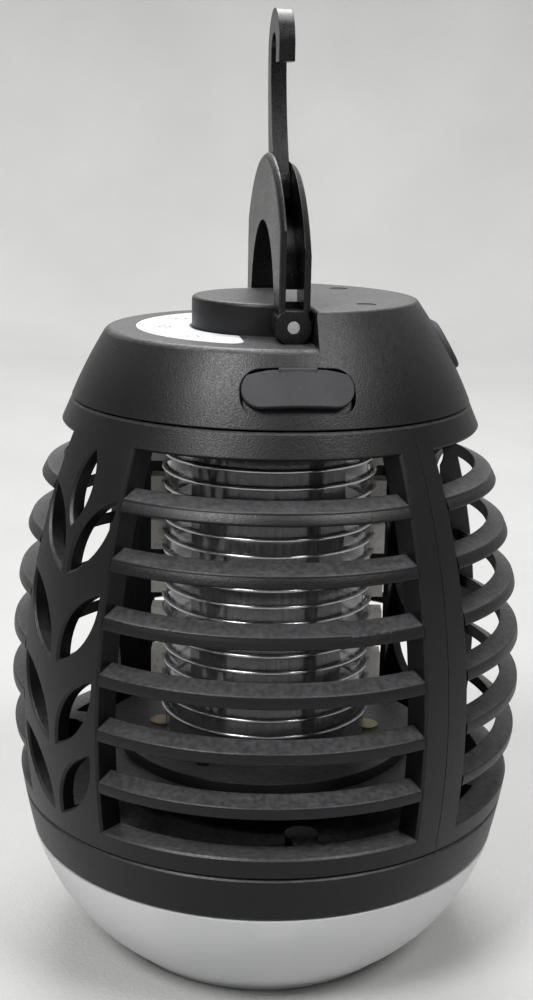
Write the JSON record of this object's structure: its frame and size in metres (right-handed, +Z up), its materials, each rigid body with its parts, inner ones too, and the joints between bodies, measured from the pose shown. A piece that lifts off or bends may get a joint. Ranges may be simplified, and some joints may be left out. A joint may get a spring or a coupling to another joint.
{
  "type": "electric bug zapper",
  "caption": "Egg-shaped hanging bug zapper lantern with a slotted cage, wire grid, twist-off lower half, white light diffuser, folding bail and swing hook.",
  "frame": {"origin": "centre of the flat under the diffuser, on the surface it stands on", "axes": "+Z up along the lamp's axis, -Y towards the port cover, +X towards the power button"},
  "size_m": [0.0908, 0.0908, 0.1642],
  "materials": {
    "housing_black": "fine-textured black ABS, satin",
    "bail_black": "smooth black ABS, semi-gloss",
    "diffuser_white": "milky translucent polycarbonate",
    "rubber_black": "matte soft rubber",
    "sticker_white": "printed film with faint grey marks",
    "steel": "bright steel",
    "wire_steel": "polished stainless wire",
    "clear_plastic": "clear polycarbonate",
    "smoke_clear": "smoky clear plastic film",
    "inner_black": "black inner moulding",
    "board_green": "circuit board with solder mask",
    "chip_black": "moulded component",
    "component_blue": "film capacitor and winding",
    "led_white": "LED chip",
    "battery_foil": "pouch foil",
    "brass": "plated contact",
    "seal_grey": "silicone gasket",
    "lead_sleeve": "insulated lead"
  },
  "bodies": {
    "head": {"top_housing": "housing_black", "head_base": "inner_black", "label_sticker": "sticker_white", "screw_plugs": "rubber_black", "housing_screws": "steel", "hinge_pins": "steel", "control_board": "board_green", "control_chips": "chip_black", "usb_socket": "steel", "hv_transformer": "component_blue", "hv_capacitors": "component_blue", "switch_board": "board_green", "tact_switch": "chip_black", "battery": "battery_foil", "uv_led_board": "board_green", "uv_leds": "led_white", "light_tube": "clear_plastic", "grid_top_ring": "inner_black", "grid_screws": "steel", "grid_wires_live": "wire_steel", "grid_wires_return": "wire_steel", "grid_posts": "clear_plastic", "grid_base": "inner_black", "lantern_leads": "lead_sleeve", "contact_pins": "brass", "grid_sleeve": "smoke_clear", "grid_terminals": "brass"},
    "lower_half": {"cage_front": "housing_black", "cage_rear": "housing_black", "front_bars": "housing_black", "left_bars": "housing_black", "rear_bars": "housing_black", "right_bars": "housing_black", "cage_screws": "steel", "base_tray": "housing_black", "contact_rings": "brass", "lantern_board": "board_green", "lantern_leds": "led_white", "lantern_screws": "steel", "base_seal": "seal_grey", "diffuser": "diffuser_white"},
    "bail": {"bail": "bail_black", "hook_pin": "steel"},
    "hook": {"hook": "bail_black"},
    "port_cover": {"port_cover": "rubber_black"},
    "power_button": {"power_button": "rubber_black"}
  },
  "joints": [
    {"name": "lower_twist", "type": "hinge", "parent": "head", "child": "lower_half", "pos_m": [0, 0, 0.098], "axis": [0, 0, 1], "range_deg": [0, 25]},
    {"name": "bail_fold", "type": "hinge", "parent": "head", "child": "bail", "pos_m": [0.00045, 0, 0.1144], "axis": [0, -1, 0], "range_deg": [0, 90]},
    {"name": "hook_swing", "type": "hinge", "parent": "bail", "child": "hook", "pos_m": [0.0005, -0.0018, 0.1352], "axis": [1, 0, 0], "range_deg": [0, 122]},
    {"name": "button_press", "type": "slide", "parent": "head", "child": "power_button", "axis": [-0.8684, 0, -0.4958], "range_m": [0, 0.001], "stiffness_N_per_m": 400},
    {"name": "port_cover_open", "type": "hinge", "parent": "head", "child": "port_cover", "pos_m": [0, -0.03025, 0.10895], "axis": [-1, 0, 0], "range_deg": [0, 110]}
  ]
}
